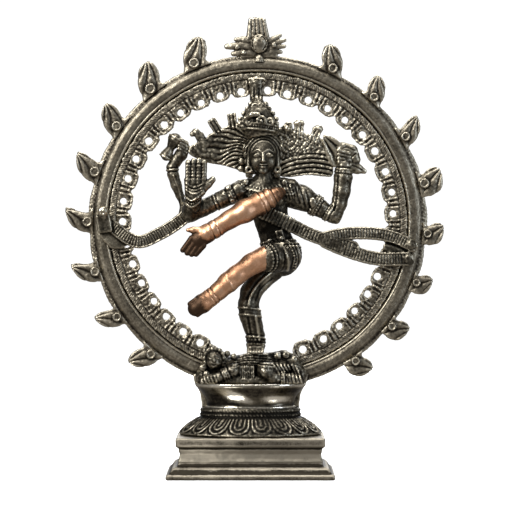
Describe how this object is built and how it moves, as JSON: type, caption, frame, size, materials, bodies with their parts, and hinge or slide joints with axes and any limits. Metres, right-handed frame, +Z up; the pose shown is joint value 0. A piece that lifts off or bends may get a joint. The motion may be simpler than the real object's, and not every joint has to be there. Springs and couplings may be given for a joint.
{
  "type": "dancing figure statue",
  "caption": "Cast brass dancing figure with four arms in a flaming arch, standing on a lotus pedestal, with one copper-toned arm and leg.",
  "frame": {"origin": "centre of the plinth's underside", "axes": "+Z up, -Y towards the front of the figure, +X to the viewer's right"},
  "size_m": [0.2525, 0.072, 0.305],
  "materials": {
    "cast_brass": "dark antique cast brass, worn brighter on raised detail",
    "arch_brass": "dark antique cast brass with a burnished rim",
    "pedestal_brass": "turned and filed antique brass, satin",
    "copper_limbs": "copper-toned lacquer over cast brass, darker in recesses",
    "fastener_brass": "plain turned brass"
  },
  "bodies": {
    "root": {"plinth": "pedestal_brass", "lotus_band": "cast_brass", "dish": "pedestal_brass", "dwarf": "cast_brass", "arch_rim": "arch_brass", "arch_border": "arch_brass", "flame_finials": "arch_brass", "crest_finial": "arch_brass", "torso": "cast_brass", "head": "cast_brass", "crown": "cast_brass", "hair_fan_left": "cast_brass", "hair_fan_right": "cast_brass", "front_right_arm": "cast_brass", "rear_right_arm": "cast_brass", "rear_left_arm": "cast_brass", "hand_drum": "cast_brass", "hand_flame": "cast_brass", "standing_leg": "cast_brass", "serpent_sash": "cast_brass", "waist_sash": "cast_brass", "front_left_arm": "copper_limbs", "raised_leg": "copper_limbs", "pedestal_screws": "fastener_brass", "arch_screws": "fastener_brass", "figure_stud": "fastener_brass", "stud_washer": "fastener_brass", "stud_nut": "fastener_brass", "sash_rivets": "cast_brass", "crown_rivet": "cast_brass"}
  },
  "joints": []
}
